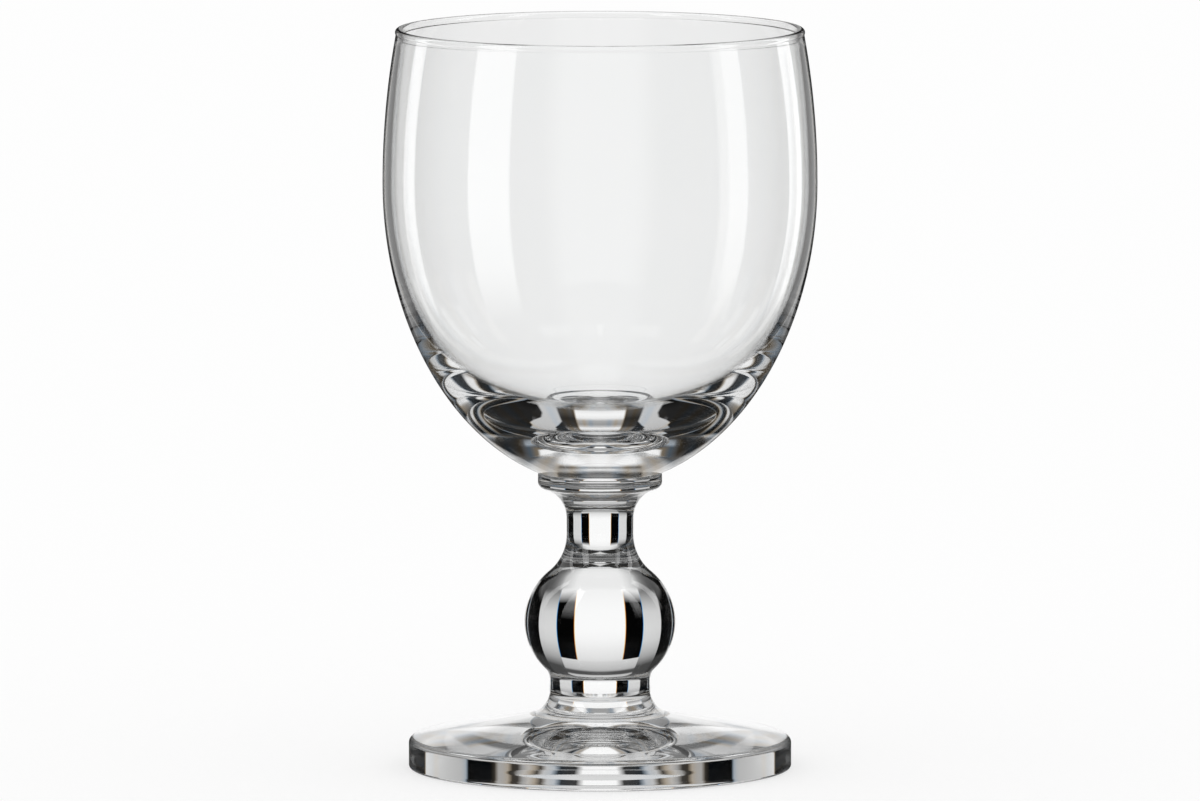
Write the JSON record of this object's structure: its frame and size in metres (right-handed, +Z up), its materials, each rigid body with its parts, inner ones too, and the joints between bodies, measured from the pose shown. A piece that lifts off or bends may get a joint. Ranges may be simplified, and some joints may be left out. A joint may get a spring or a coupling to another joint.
{
  "type": "white wine glass",
  "caption": "Stemmed drinking glass: thin tulip bowl with a heavy base on a collar, slim neck, solid ball knop, short shank and round foot, all clear glass.",
  "frame": {"origin": "middle of the circle that the foot stands on", "axes": "+Z up along the axis that the glass is turned about"},
  "size_m": [0.083, 0.083, 0.142],
  "materials": {
    "clear_glass": "clear and colourless, fire-polished"
  },
  "bodies": {
    "root": {"bowl": "clear_glass", "collar": "clear_glass", "neck": "clear_glass", "ball_knop": "clear_glass", "lower_shank": "clear_glass", "foot": "clear_glass"}
  },
  "joints": []
}
